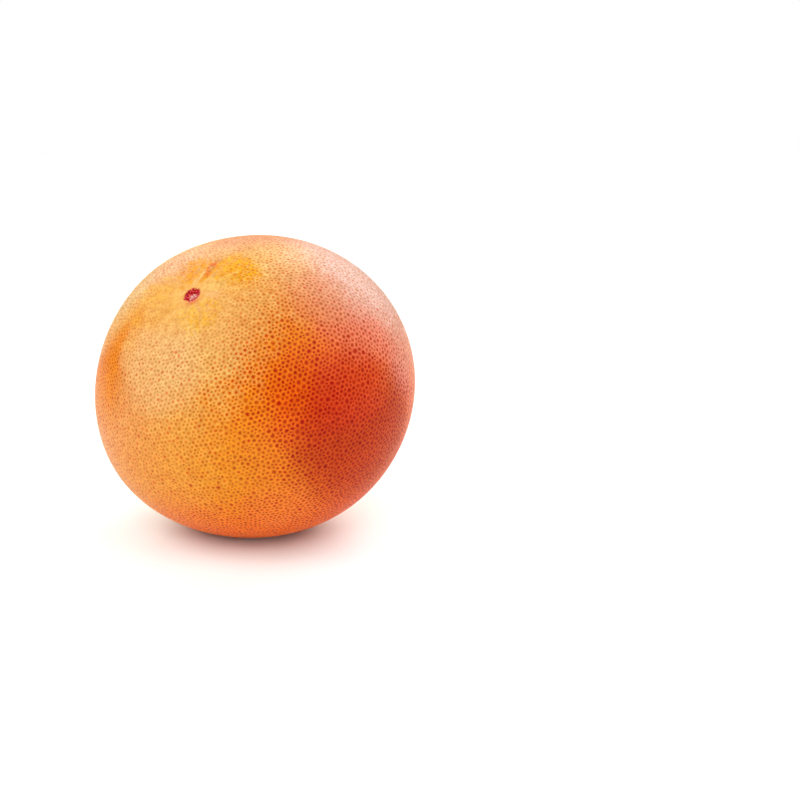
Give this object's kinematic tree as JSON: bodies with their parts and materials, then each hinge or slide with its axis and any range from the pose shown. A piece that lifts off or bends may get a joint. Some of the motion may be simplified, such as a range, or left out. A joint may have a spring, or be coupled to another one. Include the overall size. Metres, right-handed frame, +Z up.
{
  "type": "grapefruit",
  "caption": "Whole citrus fruit with an orange-red pored rind and a stem scar, lying on a small flat spot.",
  "frame": {"origin": "on the ground, under the middle of the fruit's bounding box", "axes": "+Z up from the flat spot; +X to the picture's right; the stem end tips 39.5 degrees from +Z towards -X and -Y"},
  "size_m": [0.1102, 0.107, 0.1022],
  "materials": {
    "rind": "waxy orange-red rind, satin, with darker pores"
  },
  "bodies": {
    "root": {"grapefruit": "rind"}
  },
  "joints": []
}
